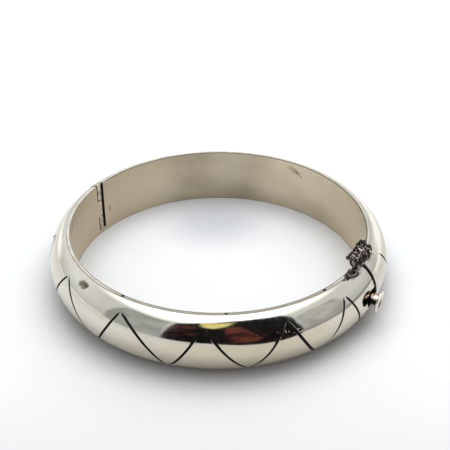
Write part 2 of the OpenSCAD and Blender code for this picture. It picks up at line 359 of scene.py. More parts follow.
def rim_path():
    """The section from the dome's upper edge round the liner to its lower one: radius,
    height and the slot of the face that follows."""
    outer = INNER_R + LINER_T
    top = [(outer, BAND_W - SEAM_D, SEAM), (outer - SEAM_W/2, BAND_W - SEAM_D, SEAM),
           (outer - 0.6*SEAM_W, BAND_W, RIM)]
    for a in steps(90, 0, 5):
        reach = EDGE_ROUND*math.cos(math.radians(a))
        drop = EDGE_ROUND*(1 - math.sin(math.radians(a)))
        top.append((INNER_R + EDGE_ROUND - reach, BAND_W - drop, RIM))
    middle = [(INNER_R, z, LINER) for z in steps(BAND_W - EDGE_ROUND, EDGE_ROUND, LINER_ROWS)]
    path = top[:-1] + middle[:-1]
    mirrored = [(r, BAND_W - z) for r, z, _ in reversed(top)]
    slots = [RIM]*(len(top) - 3) + [SEAM]*3
    return path + [(r, z, slot) for (r, z), slot in zip(mirrored, slots)]


def half_band(side, rows):
    """One half of the band as a closed mesh whose columns follow the engraved strokes."""
    lines = strokes(rows)
    dome = steps(-DOME_S, DOME_S, DOME_ROWS)
    table = [dome_columns(side, lines, s) for s in dome]
    width = len(table[0])
    verts = []
    for s, columns in zip(dome, table):
        r, z, e = section(s)
        verts += [at(a, r + h*math.cos(e), z + h*math.sin(e)) for a, h in columns]
    path = rim_path()
    for r, z, _ in path:
        part = (BAND_W - z)/BAND_W
        angles = [top[0] + (low[0] - top[0])*part for top, low in zip(table[-1], table[0])]
        angles[0], angles[1], angles[-2], angles[-1] = end_columns(side, r)
        verts += [at(a, r, z) for a in angles]
    pitch = GROOVE_LINES + GAP_COLUMNS
    grooves = {2 + GAP_COLUMNS + k*pitch + n for k in range(len(lines)) for n in (1, 2)}
    count = DOME_ROWS + len(path)
    faces, slots = [], []
    for i in range(count):
        for j in range(width - 1):
            a, b = i*width + j, (i + 1) % count*width + j
            faces.append((a, a + 1, b + 1, b))
            worn = i < DOME_ROWS - 1 and j in (0, width - 2)
            slots.append(CUT if worn else face_slot(table, path, i, j, j in grooves))
    faces.append([i*width for i in range(count)])
    faces.append([i*width + width - 1 for i in reversed(range(count))])
    slots += [CUT, CUT]
    return solid("half_band", verts, faces, slots)


def face_slot(table, path, i, j, groove):
    if i == DOME_ROWS - 1:
        return SEAM
    if i >= DOME_ROWS:
        return path[i - DOME_ROWS][2]
    corners = [table[i + m][j + n][1] for m in (0, 1) for n in (0, 1)]
    return GROOVE if groove and min(corners) < -0.1*CUT_D else DOME


# small solids, in millimetres

def solid(name, verts, faces, slots):
    mesh = bpy.data.meshes.new(name)
    mesh.from_pydata([tuple(v) for v in verts], [], [tuple(f) for f in faces])
    mesh.polygons.foreach_set("material_index", slots)
    mesh.update()
    obj = bpy.data.objects.new(name, mesh)
    bpy.context.scene.collection.objects.link(obj)
    for _ in range(LOOP + 1):
        mesh.materials.append(None)
    tidy = bmesh.new()
    tidy.from_mesh(mesh)
    bmesh.ops.recalc_face_normals(tidy, faces=tidy.faces)
    tidy.to_mesh(mesh)
    tidy.free()
    return obj


def block(low, high, slot, turn=Matrix()):
    """A box between two corners, placed by turn."""
    corners = [Vector((x, y, z)) for x in (low[0], high[0]) for y in (low[1], high[1])
               for z in (low[2], high[2])]
    faces = [(0, 1, 3, 2), (4, 6, 7, 5), (0, 4, 5, 1), (2, 3, 7, 6), (0, 2, 6, 4), (1, 5, 7, 3)]
    return solid("block", [turn @ c for c in corners], faces, [slot]*6)


def lathe(profile, slot, turn=Matrix()):
    """A closed solid turned about z from (radius, height) pairs, its ends on the axis."""
    inner = profile[1:-1]
    verts = [turn @ Vector((0, 0, profile[0][1])), turn @ Vector((0, 0, profile[-1][1]))]
    for r, z in inner:
        for k in range(ROUND):
            a = 2*math.pi*k/ROUND
            verts.append(turn @ Vector((r*math.cos(a), r*math.sin(a), z)))
    faces = []
    top = 2 + (len(inner) - 1)*ROUND
    for k in range(ROUND):
        n = (k + 1) % ROUND
        faces.append((0, 2 + n, 2 + k))
        faces.append((1, top + k, top + n))
        for i in range(len(inner) - 1):
            a, b = 2 + i*ROUND, 2 + (i + 1)*ROUND
            faces.append((a + k, a + n, b + n, b + k))
    return solid("lathe", verts, faces, [slot]*len(faces))


def tube(route, radius, slot):
    """A closed ring of round wire along a closed route of (point, outward direction)."""
    verts, faces = [], []
    count = len(route)
    for i, (p, out) in enumerate(route):
        along = (route[(i + 1) % count][0] - route[i - 1][0]).normalized()
        out = (out - along*out.dot(along)).normalized()
        side = along.cross(out)
        for k in range(WIRE_SIDES):
            a = 2*math.pi*k/WIRE_SIDES
            verts.append(p + radius*(math.cos(a)*out + math.sin(a)*side))
    for i in range(count):
        for k in range(WIRE_SIDES):
            a, b = i*WIRE_SIDES, (i + 1) % count*WIRE_SIDES
            n = (k + 1) % WIRE_SIDES
            faces.append((a + k, a + n, b + n, b + k))
    return solid("tube", verts, faces, [slot]*len(faces))


def cylinder(radius, z0, z1, slot, turn=Matrix()):
    return lathe([(0, z0), (radius, z0), (radius, z1), (0, z1)], slot, turn)


def combine(obj, other, operation):
    """The boolean of two solids, which takes the place of the first; the other goes."""
    step = obj.modifiers.new("step", "BOOLEAN")
    step.object = other
    step.operation = operation
    step.solver = "EXACT"
    step.material_mode = "INDEX"
    graph = bpy.context.evaluated_depsgraph_get()
    mesh = bpy.data.meshes.new_from_object(obj.evaluated_get(graph))
    obj.modifiers.clear()
    obj.data = mesh
    bpy.data.objects.remove(other)


def cut(obj, *cutters):
    for cutter in cutters:
        combine(obj, cutter, "DIFFERENCE")


def joined(name, objs):
    """Several solids as one object."""
    whole = bmesh.new()
    for o in objs:
        whole.from_mesh(o.data)
        bpy.data.objects.remove(o)
    mesh = bpy.data.meshes.new(name)
    whole.to_mesh(mesh)
    whole.free()
    obj = bpy.data.objects.new(name, mesh)
    bpy.context.scene.collection.objects.link(obj)
    return obj


def mark_edges(mesh):
    """Shades the faces smooth, and marks corners and the lines between slots as sharp."""
    shape = bmesh.new()
    shape.from_mesh(mesh)
    for edge in shape.edges:
        faces = edge.link_faces
        if len(faces) == 2:
            found = {f.material_index for f in faces}
            edge.smooth = len(found) == 1 and (
                found <= {DOME, LINER} or edge.calc_face_angle(0) < math.radians(SHARP))
    for face in shape.faces:
        face.smooth = True
    shape.to_mesh(mesh)
    shape.free()


def own_normal(slot, p):
    """The normal of a slot's ideal surface at a point; zeros leave the mesh's own."""
    normal = None
    if slot == DOME:
        normal = dome_normal(p)
    elif slot in (RIM, LINER):
        normal = liner_normal(p)
    return normal or (0.0, 0.0, 0.0)


def finish_mesh(obj, materials):
    """Gives a solid its materials, sharp edges and true normals, and scales it to metres."""
    mesh = obj.data
    slots = [face.material_index for face in mesh.polygons]
    mesh.materials.clear()
    for material in materials:
        mesh.materials.append(material)
    mesh.polygons.foreach_set("material_index", slots)
    mark_edges(mesh)
    mesh.normals_split_custom_set([
        own_normal(face.material_index, mesh.vertices[v].co)
        for face in mesh.polygons for v in face.vertices])
    mesh.transform(Matrix.Scale(MM, 4))
    mesh.update()


# fittings of the halves

HINGE = turned(HINGE_AZ) @ Matrix.Translation((AXIS_R, 0, 0))


def knuckle(z0, z1):
    """A knuckle of the hinge, filed to the band's own section."""
    piece = cylinder(TUBE_R, z0, z1, KNUCKLE, HINGE)
    combine(piece, band_piece(HINGE_AZ - FILED, HINGE_AZ + FILED), "INTERSECT")
    return piece


def band_piece(az0, az1):
    """A short solid length of the band's section."""
    ring = [section(s)[:2] for s in steps(-DOME_S, DOME_S, DOME_ROWS)]
    ring += [(INNER_R, BAND_W), (INNER_R, 0)]
    count = len(ring)
    angles = steps(az0, az1, 25)
    verts = [at(a, r, z) for a in angles for r, z in ring]
    faces = []
    for i in range(len(angles) - 1):
        a, b = i*count, (i + 1)*count
        faces += [(a + k, a + (k + 1) % count, b + (k + 1) % count, b + k) for k in range(count)]
    faces.append(list(range(count)))
    faces.append([(len(angles) - 1)*count + k for k in reversed(range(count))])
    return solid("band_piece", verts, faces, [KNUCKLE]*len(faces))


def knuckle_room(z0, z1):
    return cylinder(TUBE_R + KNUCKLE_RUN, z0, z1, CUT, HINGE)


def hinge_slot(z0, z1):
    return block((-2*TUBE_R, -SLOT_HALF, z0), (2*TUBE_R, SLOT_HALF, z1), CUT, HINGE)


def chain_point(u):
    """The chain's middle line at share u of its length, and the way out of its coil there."""
    az = math.degrees((COIL_FROM - CHAIN_REACH*u)/COIL_MID_R)
    turn = math.radians(-90 - 360*COIL_TURNS*u)
    radial = at(az, math.cos(turn), math.sin(turn))
    return at(az, COIL_MID_R, COIL_MID_Z) + COIL_R*radial, radial


def link_frame(k):
    """The middle of link k, the direction of its length and that of its width."""
    a, b = chain_point(k/LINK_COUNT)[0], chain_point((k + 1)/LINK_COUNT)[0]
    x = (b - a).normalized()
    radial = chain_point((k + 0.5)/LINK_COUNT)[1]
    out = (radial - radial.dot(x)*x).normalized()
    g = math.radians(45 if k % 2 == 0 else -45)
    return (a + b)/2, x, math.cos(g)*out + math.sin(g)*x.cross(out)


def oval(middle, x, y, length, width, wire, count=LINK_STEPS):
    """The route of a link: two half rings joined by straight sides."""
    straight, bend = (length - width)/2, (width - wire)/2
    route = []
    for k in range(count):
        a = 2*math.pi*(k + 0.5)/count
        out = math.cos(a)*x + math.sin(a)*y
        route.append((middle + math.copysign(straight, math.cos(a))*x + bend*out, out))
    return route


def chain_loop(side):
    """The closed loop soldered on a rim, which the chain's end link hooks through."""
    k = 0 if side > 0 else LINK_COUNT - 1
    x, y = link_frame(k)[1:]
    middle = chain_point(0 if side > 0 else 1)[0] + side*(LOOP_HOOK - LOOP_R)*x
    across = x.cross(y)
    size = 2*LOOP_R + LOOP_WIRE
    return tube(oval(middle, x, across, size, size, LOOP_WIRE, LOOP_STEPS), LOOP_WIRE/2, LOOP)


def catch_seat():
    """What is cut for the tongue's slot, and for the notch that the button's stem stands in."""
    low = (TONGUE_R - SLOT_PLAY, -LEAF_END - CATCH_PLAY, HALF_W - TONGUE_W/2 - SLOT_PLAY)
    high = (SLOT_OUT, 0, HALF_W + TONGUE_W/2 + SLOT_PLAY)
    turn = turned(BUTTON_AZ) @ Matrix.Translation((NOTCH_FROM, 0, HALF_W))
    round_end = cylinder(NOTCH_R, 0, RISE, CUT, turn @ turned(90, "Y"))
    opening = block((0, 0, -MOUTH_HALF), (RISE, BUTTON_SET + BEYOND, MOUTH_HALF), CUT, turn)
    return block(low, high, CUT), round_end, opening


def tongue_base():
    return block((TONGUE_R, -TONGUE_L, HALF_W - TONGUE_W/2),
                 (TONGUE_R + STRIP_T, CLASP_GAP/2 + PLATE_T/2, HALF_W + TONGUE_W/2), FITTING)


def solder_bead():
    """A low bead of solder on the rim, beside the dome."""
    angles = [math.radians(a) for a in steps(-90, 90, 13)]
    outline = [(BEAD_R*math.cos(a), BEAD_R*math.sin(a)) for a in angles]
    return lathe(outline, RIM, Matrix.Translation(at(BEAD_AZ, INNER_R + BEAD_IN, BAND_W)))


def front_half(materials):
    band = half_band(-1, FRONT_CUTS)
    cut(band, knuckle_room(-BEYOND, SPLIT_LOW), knuckle_room(SPLIT_HIGH, BAND_W + BEYOND),
        hinge_slot(SLOT_FLOOR, SPLIT_LOW), hinge_slot(SPLIT_HIGH, BAND_W + BEYOND), *catch_seat())
    parts = [band, knuckle(SPLIT_LOW + SPLIT/2, SPLIT_HIGH - SPLIT/2), chain_loop(-1), solder_bead()]
    obj = joined("front_half_silver", parts)
    finish_mesh(obj, materials)
    return obj


def back_half(materials):
    band = half_band(1, BACK_CUTS)
    cut(band, knuckle_room(SPLIT_LOW, SPLIT_HIGH), hinge_slot(SLOT_FLOOR, BAND_W + BEYOND))
    parts = [band, knuckle(-BEYOND, SPLIT_LOW - SPLIT/2), knuckle(SPLIT_HIGH + SPLIT/2, BAND_W + BEYOND),
             tongue_base(), chain_loop(1)]
    obj = joined("back_half_silver", parts)
    finish_mesh(obj, materials)
    return obj


def rounded(radius, z0, z1, bevel):
    """Profile of a disc from its lower face to its upper one, with rounded edges."""
    angles = [math.radians(a) for a in steps(0, 90, 6)]
    corner = [(bevel*(1 - math.sin(a)), bevel*(1 - math.cos(a))) for a in angles]
    low = [(radius - dr, z0 + dz) for dr, dz in corner]
    high = [(radius - dr, z1 - dz) for dr, dz in reversed(corner)]
    return [(0, z0)] + low + high + [(0, z1)]


def thumb_catch(material):
    """The spring leaf with its stem and thumb button."""
    stand = LEAF_R + LEAF_LIFT + STRIP_T/3
    turn = turned(BUTTON_AZ) @ Matrix.Translation((stand, 0, HALF_W)) @ turned(90, "Y")
    head = turned(BUTTON_AZ) @ Matrix.Translation((BUTTON_MID_R, 0, BUTTON_MID_Z))
    head = head @ turned(BUTTON_TURN) @ turned(90 + BUTTON_LEAN, "Y")
    button = lathe(rounded(BUTTON_R, -BUTTON_T/2, BUTTON_T/2, BUTTON_BEVEL), FITTING, head)
    stem = cylinder(STEM_R, 0, BUTTON_MID_R - stand, FITTING, turn)
    z0, z1 = HALF_W - TONGUE_W/2, HALF_W + TONGUE_W/2
    outline = [(LEAF_R, FOLD_PART - TONGUE_L), (LEAF_R + STRIP_T, FOLD_PART - TONGUE_L),
               (LEAF_R + STRIP_T + LEAF_LIFT, -LEAF_END), (LEAF_R + LEAF_LIFT, -LEAF_END)]
    verts = [(x, y, z) for z in (z0, z1) for x, y in outline]
    faces = [(0, 1, 2, 3), (7, 6, 5, 4)]
    faces += [(k, (k + 1) % 4, (k + 1) % 4 + 4, k + 4) for k in range(4)]
    leaf = solid("leaf", verts, faces, [FITTING]*6)
    obj = joined("thumb_button", [button, stem, leaf])
    finish_mesh(obj, [material]*(LOOP + 1))
    return obj


def safety_chain(material):
    links = [tube(oval(*link_frame(k), LINK_L, LINK_W, LINK_WIRE), LINK_WIRE/2, FITTING)
             for k in range(LINK_COUNT)]
    obj = joined("chain_links", links)
    finish_mesh(obj, [material]*(LOOP + 1))
    return obj


# materials

MARK_WOBBLE = 0.15
DENT_WOBBLE = 0.1
DOME_BUMP = 0.00003
LINER_BUMP = 0.000004
# reach of the painted shade between crowded links
LINK_SHADE_REACH = 0.0008


def add(tree, kind, inputs=None, **settings):
    """A shader node with its settings and its inputs, given as values or as sockets."""
    node = tree.nodes.new(kind)
    for key, value in settings.items():
        setattr(node, key, value)
    for key, value in (inputs or {}).items():
        if isinstance(value, bpy.types.NodeSocket):
            tree.links.new(value, node.inputs[key])
        else:
            node.inputs[key].default_value = value
    return node


def bare_material(name):
    material = bpy.data.materials.new(name)
    material.use_nodes = True
    tree = material.node_tree
    shader = tree.nodes["Principled BSDF"]
    shader.inputs["Metallic"].default_value = 1.0
    return material, tree, shader


def place(tree):
    return add(tree, "ShaderNodeTexCoord").outputs["Object"]


def rgb(r, g, b):
    return (r, g, b, 1.0)


def noise(tree, where, scale, detail=3.0, stretch=(1, 1, 1)):
    """A noise of so many waves a metre, which stretch draws out along an axis."""
    mapped = add(tree, "ShaderNodeMapping", {"Vector": where, "Scale": stretch}).outputs[0]
    inputs = {"Vector": mapped, "Scale": scale, "Detail": detail}
    return add(tree, "ShaderNodeTexNoise", inputs).outputs["Fac"]


def ramp(tree, value, low, high, out_low=0.0, out_high=1.0):
    return add(tree, "ShaderNodeMapRange", {
        "Value": value, "From Min": low, "From Max": high, "To Min": out_low, "To Max": out_high},
        interpolation_type="SMOOTHSTEP").outputs[0]


def across(tree, where, axis, low, high):
    """From 0 to 1 as a point's X, Y or Z goes from low to high, in millimetres."""
    axes = add(tree, "ShaderNodeSeparateXYZ", {"Vector": where})
    return ramp(tree, axes.outputs[axis], low*MM, high*MM)


def along(tree, where, direction):
    """How far a point lies along a direction."""
    inputs = {0: where, 1: direction}
    return add(tree, "ShaderNodeVectorMath", inputs, operation="DOT_PRODUCT").outputs["Value"]


def blend_colours(tree, share, a, b):
    """Colour a where share is 0 and colour b where it is 1."""
    return add(tree, "ShaderNodeMix", {0: share, 6: a, 7: b}, data_type="RGBA").outputs[2]


def arithmetic(tree, operation, *values):
    return add(tree, "ShaderNodeMath", dict(enumerate(values)), operation=operation).outputs[0]


def multiply(tree, a, b):
    return arithmetic(tree, "MULTIPLY", a, b)


def spot(tree, where, centre, radius, soft, wobble=0.0):
    """1 within radius of a point of the object and 0 past radius + soft, in millimetres,
    with an edge that wobbles so far in and out."""
    inputs = {0: where, 1: centre*MM}
    distance = add(tree, "ShaderNodeVectorMath", inputs, operation="DISTANCE").outputs["Value"]
    if wobble:
        shift = ramp(tree, noise(tree, where, 1100, 1.0), 0.3, 0.7, -wobble*MM, wobble*MM)
        distance = arithmetic(tree, "ADD", distance, shift)
    return ramp(tree, distance, radius*MM, (radius + soft)*MM, 1.0, 0.0)


def bump(tree, shader, height, distance):
    """Bumps of so many metres from a height of 0 to 1."""
    node = add(tree, "ShaderNodeBump", {"Height": height, "Distance": distance, "Strength": 1.0})
    tree.links.new(node.outputs[0], shader.inputs["Normal"])


def paint(tree, shader, colour, roughness):
    tree.links.new(colour, shader.inputs["Base Color"])
    tree.links.new(roughness, shader.inputs["Roughness"])


def chain_shade_and_grime(tree, where, colour):
    """The colour, darkened by painted shade and reflection of the chain, partly grime, where the chain
    lies against the rims.
    """
    for y, size in CHAIN_SHADE_AND_GRIME:
        near = spot(tree, where, Vector((INNER_R + 0.6, y, BAND_W)), size, CHAIN_SHADE_SOFT)
        colour = blend_colours(tree, multiply(tree, near, CHAIN_SHADE_DEPTH), colour, rgb(0.07, 0.055, 0.05))
    return colour


def polished_silver():
    """Worn mirror polish with a faint warm tarnish, fine scratches, dents and one olive stain."""
    material, tree, shader = bare_material("polished_silver")
    where = place(tree)
    haze = ramp(tree, noise(tree, where, 140), 0.35, 0.7)
    colour = blend_colours(tree, haze, rgb(0.63, 0.625, 0.575), rgb(0.6, 0.58, 0.52))
    for az, z, r, size, soft, depth in STAINS:
        stain = spot(tree, where, at(az, r, z), size, soft, MARK_WOBBLE)
        colour = blend_colours(tree, multiply(tree, stain, depth), colour, rgb(0.085, 0.075, 0.045))
    fine = noise(tree, where, 900, 5.0)
    # painted shade and reflection of the chain, partly grime, by the rim
    paint(tree, shader, chain_shade_and_grime(tree, where, colour), ramp(tree, fine, 0.3, 0.75, 0.07, 0.13))
    height = noise(tree, where, 120, 1.0)
    for az, z, r, size, soft in DENTS:
        dent = spot(tree, where, at(az, r, z), size, soft, DENT_WOBBLE)
        height = arithmetic(tree, "SUBTRACT", height, dent)
    bump(tree, shader, height, DOME_BUMP)
    return material


def satin_liner():
    """Brushed inner face, hazed with warm brown tarnish; darkest between the hinge and its middle,
    lighter at the hinge and lightest towards the clasp.
    """
    material, tree, shader = bare_material("satin_liner")
    where = place(tree)
    haze = ramp(tree, noise(tree, where, 110, 3.0, (1, 1, 2)), 0.3, 0.7)
    darker_part = blend_colours(tree, haze, rgb(0.435, 0.385, 0.3), rgb(0.365, 0.315, 0.245))
    lighter_part = blend_colours(tree, haze, rgb(0.65, 0.575, 0.46), rgb(0.56, 0.485, 0.375))
    hinge_side, clasp_side = rgb(0.54, 0.455, 0.335), rgb(0.71, 0.62, 0.47)
    # tone set by position along x: darker towards the hinge, lighter towards the clasp
    colour = blend_colours(tree, across(tree, where, "X", -9, 0), darker_part, lighter_part)
    colour = blend_colours(tree, across(tree, where, "X", -20, -27), colour, hinge_side)
    colour = blend_colours(tree, across(tree, where, "X", 8, 20), colour, clasp_side)
    streaks = ramp(tree, noise(tree, where, 70, 2.0, (1, 1, 0.35)), 0.42, 0.68)
    colour = blend_colours(tree, multiply(tree, streaks, 0.45), colour, rgb(0.43, 0.37, 0.31))
    pale = ramp(tree, noise(tree, where, 45, 1.0, (1, 1, 0.5)), 0.5, 0.72)
    colour = blend_colours(tree, multiply(tree, pale, 0.4), colour, rgb(0.68, 0.64, 0.55))
    for az, z, size, soft, depth in LINER_MARKS:
        mark = spot(tree, where, at(az, INNER_R, z), size, soft, MARK_WOBBLE)
        colour = blend_colours(tree, multiply(tree, mark, depth), colour, rgb(0.13, 0.045, 0.035))
    fine = noise(tree, where, 1200, 4.0, (1, 1, 6))
    # painted shade and reflection of the chain, partly grime, by the rim
    paint(tree, shader, chain_shade_and_grime(tree, where, colour), ramp(tree, fine, 0.3, 0.7, 0.3, 0.42))
    bump(tree, shader, fine, LINER_BUMP)
    return material


def front_stretch(tree, where):
    """1 on the stretch of the front rim where the solder shows, else 0."""
    sides = multiply(tree, across(tree, where, "X", -9, -4), across(tree, where, "X", 29, 26))
    return multiply(tree, sides, across(tree, where, "Y", -5, -9))


def rim_silver():
    """The liner's edge: bright, with nicks and a dark line along its inner corner, lighter on the front
    left.
    """
    material, tree, shader = bare_material("rim_silver")
    where = place(tree)
    flat = {0: where, 1: (1.0, 1.0, 0.0)}
    flat = add(tree, "ShaderNodeVectorMath", flat, operation="MULTIPLY").outputs[0]
    radius = add(tree, "ShaderNodeVectorMath", {0: flat}, operation="LENGTH").outputs["Value"]
    lighter_part = ramp(tree, radius, (INNER_R + 0.1)*MM, (INNER_R + 0.24)*MM)
    left = multiply(tree, across(tree, where, "X", -8, -14), across(tree, where, "Y", 6, 0))
    darker_corner = blend_colours(tree, left, rgb(0.09, 0.075, 0.06), rgb(0.4, 0.38, 0.33))
    worn = ramp(tree, noise(tree, where, 400), 0.4, 0.7)
    bright = blend_colours(tree, worn, rgb(0.74, 0.72, 0.67), rgb(0.58, 0.55, 0.48))
    bright = blend_colours(tree, front_stretch(tree, where), bright, rgb(0.45, 0.42, 0.37))
    colour = blend_colours(tree, lighter_part, darker_corner, bright)
    for az, size, soft in RIM_NICKS:
        nick = spot(tree, where, at(az, INNER_R + 0.35, BAND_W), size, soft, DENT_WOBBLE)
        colour = blend_colours(tree, nick, colour, rgb(0.03, 0.025, 0.02))
    # painted shade and reflection of the chain, partly grime, on the rim
    paint(tree, shader, chain_shade_and_grime(tree, where, colour), ramp(tree, worn, 0, 1, 0.12, 0.3))
    return material


def solder_seam():
    """The thin line of solder between liner and dome."""
    material, tree, shader = bare_material("solder_seam")
    where = place(tree)
    worn = ramp(tree, noise(tree, where, 900), 0.3, 0.7)
    colour = blend_colours(tree, worn, rgb(0.5, 0.47, 0.41), rgb(0.3, 0.28, 0.24))
    # painted shade and reflection of the chain, partly grime, on the seam
    paint(tree, shader, chain_shade_and_grime(tree, where, colour), ramp(tree, worn, 0, 1, 0.25, 0.45))
    return material


def black_patina(name, dark, light, roughness, metallic, sheen):
    """Oxide left in cuts and seams."""
    material, tree, shader = bare_material(name)
    where = place(tree)
    worn = ramp(tree, noise(tree, where, 1500), 0.45, 0.75)
    tree.links.new(blend_colours(tree, worn, dark, light), shader.inputs["Base Color"])
    shader.inputs["Metallic"].default_value = metallic
    shader.inputs["Roughness"].default_value = roughness
    shader.inputs["Specular IOR Level"].default_value = sheen
    return material


def fitting_silver(name, bright, dull):
    """Silver of the small fittings, dull in patches."""
    material, tree, shader = bare_material(name)
    where = place(tree)
    worn = ramp(tree, noise(tree, where, 900), 0.5, 0.72)
    colour = blend_colours(tree, worn, bright, dull)
    paint(tree, shader, colour, ramp(tree, worn, 0, 1, 0.12, 0.32))
    return material


def knuckle_silver():
    """The hinge's knuckles, as dull as the liner, with painted shade in black along their front side."""
    material, tree, shader = bare_material("knuckle_silver")
    where = place(tree)
    middle = at(HINGE_AZ, AXIS_R, 0)[1]
    unshaded_side = across(tree, where, "Y", middle - 0.75, middle - 0.5)
    worn = ramp(tree, noise(tree, where, 700), 0.35, 0.7)
    tan = blend_colours(tree, worn, rgb(0.56, 0.52, 0.44), rgb(0.36, 0.32, 0.26))
    # painted shade: black along the knuckle's front side
    colour = blend_colours(tree, unshaded_side, rgb(0.02, 0.017, 0.015), tan)
    paint(tree, shader, colour, ramp(tree, worn, 0, 1, 0.2, 0.36))
    return material


def button_back(tree, where):
    """1 on the stem and on the leaning button's inner side, 0 on its outer face."""
    out = along(tree, where, at(BUTTON_AZ, 1, 0))
    high = add(tree, "ShaderNodeSeparateXYZ", {"Vector": where}).outputs["Z"]
    leant = math.tan(math.radians(BUTTON_LEAN))
    level = arithmetic(tree, "MULTIPLY_ADD", high, -leant, out)
    middle = BUTTON_MID_R - leant*BUTTON_MID_Z
    return ramp(tree, level, (middle + 0.05)*MM, (middle - 0.1)*MM)


def button_silver():
    """The thumb button: bright, with a painted dark reflection on the lower part of its face, and gold on
    its stem and back, with a painted highlight on top and painted shade in black below.
    """
    material, tree, shader = bare_material("button_silver")
    where = place(tree)
    worn = ramp(tree, noise(tree, where, 800), 0.42, 0.62)
    bright = blend_colours(tree, worn, rgb(0.86, 0.85, 0.83), rgb(0.66, 0.6, 0.52))
    # painted dark reflection, brown, on the lower part of the button's face, which also darkens its edge
    # tint
    dark_reflection = spot(tree, where, at(BUTTON_AZ, BUTTON_MID_R, HALF_W - 0.75), 0.1, 1.5, 0.12)
    bright = blend_colours(tree, dark_reflection, bright, rgb(0.16, 0.1, 0.07))
    dark_reflection_tint = blend_colours(tree, dark_reflection, rgb(1, 1, 1), rgb(0.2, 0.13, 0.1))
    tree.links.new(dark_reflection_tint, shader.inputs["Specular Tint"])
    gold_highlight = blend_colours(tree, worn, rgb(0.74, 0.62, 0.55), rgb(0.24, 0.15, 0.1))
    back = button_back(tree, where)
    colour = blend_colours(tree, back, bright, gold_highlight)
    # painted shade: black on the lower side of the stem and the button's back, below a painted highlight
    # on top
    low = across(tree, where, "Z", HALF_W + 0.7, HALF_W + 0.4)
    colour = blend_colours(tree, multiply(tree, back, low), colour, rgb(0.02, 0.014, 0.01))
    paint(tree, shader, colour, ramp(tree, worn, 0, 1, 0.12, 0.26))
    return material


def oxidised_chain():
    """Black oxide rubbed bright in patches, with painted shade darkest where links crowd together."""
    material, tree, shader = bare_material("oxidised_chain")
    where = place(tree)
    worn = ramp(tree, noise(tree, where, 1400, 4.0), 0.48, 0.6)
    colour = blend_colours(tree, worn, rgb(0.055, 0.042, 0.04), rgb(0.56, 0.5, 0.48))
    # painted shade where links crowd together
    unshaded_links = add(tree, "ShaderNodeAmbientOcclusion", {"Distance": LINK_SHADE_REACH}, samples=4).outputs["AO"]
    unshaded_links = ramp(tree, unshaded_links, 0.45, 0.95)
    colour = blend_colours(tree, unshaded_links, rgb(0.01, 0.008, 0.008), colour)
    paint(tree, shader, colour, ramp(tree, worn, 0, 1, 0.38, 0.16))
    return material


# stage

EYE = Vector((75.388, -138.608, 111.303))
TARGET = Vector((-7.007, 15.930, 0.0))
SENSOR = 36.0
FOCAL_PX = 946.917
PHOTO_PX = 450
FLOOR_SIZE = 4                   # in metres
# reach of the painted contact shadow on the floor
FLOOR_SHADOW_REACH = 0.011              # how far from the band the floor is dimmed, in metres
TOWARDS_VIEWER = (0.47, -0.88, 0.0)
# middle of the painted pool of shade on the floor
SHADE_POOL_MID = Vector((-10.0, 17.0, 0.0))
WARM_MID = at(-50, 62, 0)
GREY_MID = at(65, 60, 0)
CARD_STEPS = 8                   # on each side of a card's outline
CARD_LIFT = 0.3
CARD_REACH = 1200
WINDOW = (-0.94, 0.342, 0.0)     # the direction of the bright window
LAMP = Vector((20, 330, 420))


def aimed(obj, place_mm, target_mm):
    obj.location = place_mm*MM
    obj.rotation_euler = (target_mm - place_mm).to_track_quat("-Z", "Y").to_euler()
    bpy.context.scene.collection.objects.link(obj)
    return obj


def camera():
    data = bpy.data.cameras.new("camera")
    data.sensor_width = SENSOR
    data.lens = FOCAL_PX/PHOTO_PX*SENSOR
    data.clip_start = 0.01
    data.clip_end = 10
    bpy.context.scene.camera = aimed(bpy.data.objects.new("camera", data), EYE, TARGET)


def floor_with_painted_shadow(tree, where):
    """The pale floor with painted shadow: darker towards the viewer, a painted contact shadow close to
    the band, and a cool pool of painted shade inside the band.
    """
    colour = blend_colours(tree, noise(tree, where, 60), rgb(0.62, 0.63, 0.642), rgb(0.6, 0.614, 0.632))
    # painted shade: the floor darker towards the viewer
    shaded_ahead = ramp(tree, along(tree, where, TOWARDS_VIEWER), 0.02, 0.06)
    colour = blend_colours(tree, shaded_ahead, colour, rgb(0.525, 0.535, 0.547))
    # painted shade: a cool pool inside the band
    shade_pool = spot(tree, where, SHADE_POOL_MID, 2.0, 14.0)
    colour = blend_colours(tree, multiply(tree, shade_pool, 0.62), colour, rgb(0.36, 0.38, 0.41))
    # painted contact shadow close to the band, dark outside it and lighter inside it and at the left
    outside = ramp(tree, reach_of(tree, where), INNER_R*MM, OUTER_R*MM)
    shadow_colour = blend_colours(tree, outside, rgb(0.42, 0.42, 0.41), rgb(0.095, 0.085, 0.078))
    shadow_colour = blend_colours(tree, across(tree, where, "X", -12, -30), shadow_colour, rgb(0.42, 0.42, 0.415))
    near = add(tree, "ShaderNodeAmbientOcclusion", {"Distance": FLOOR_SHADOW_REACH}, samples=8).outputs["AO"]
    return blend_colours(tree, ramp(tree, near, 0.0, 0.9), shadow_colour, colour)


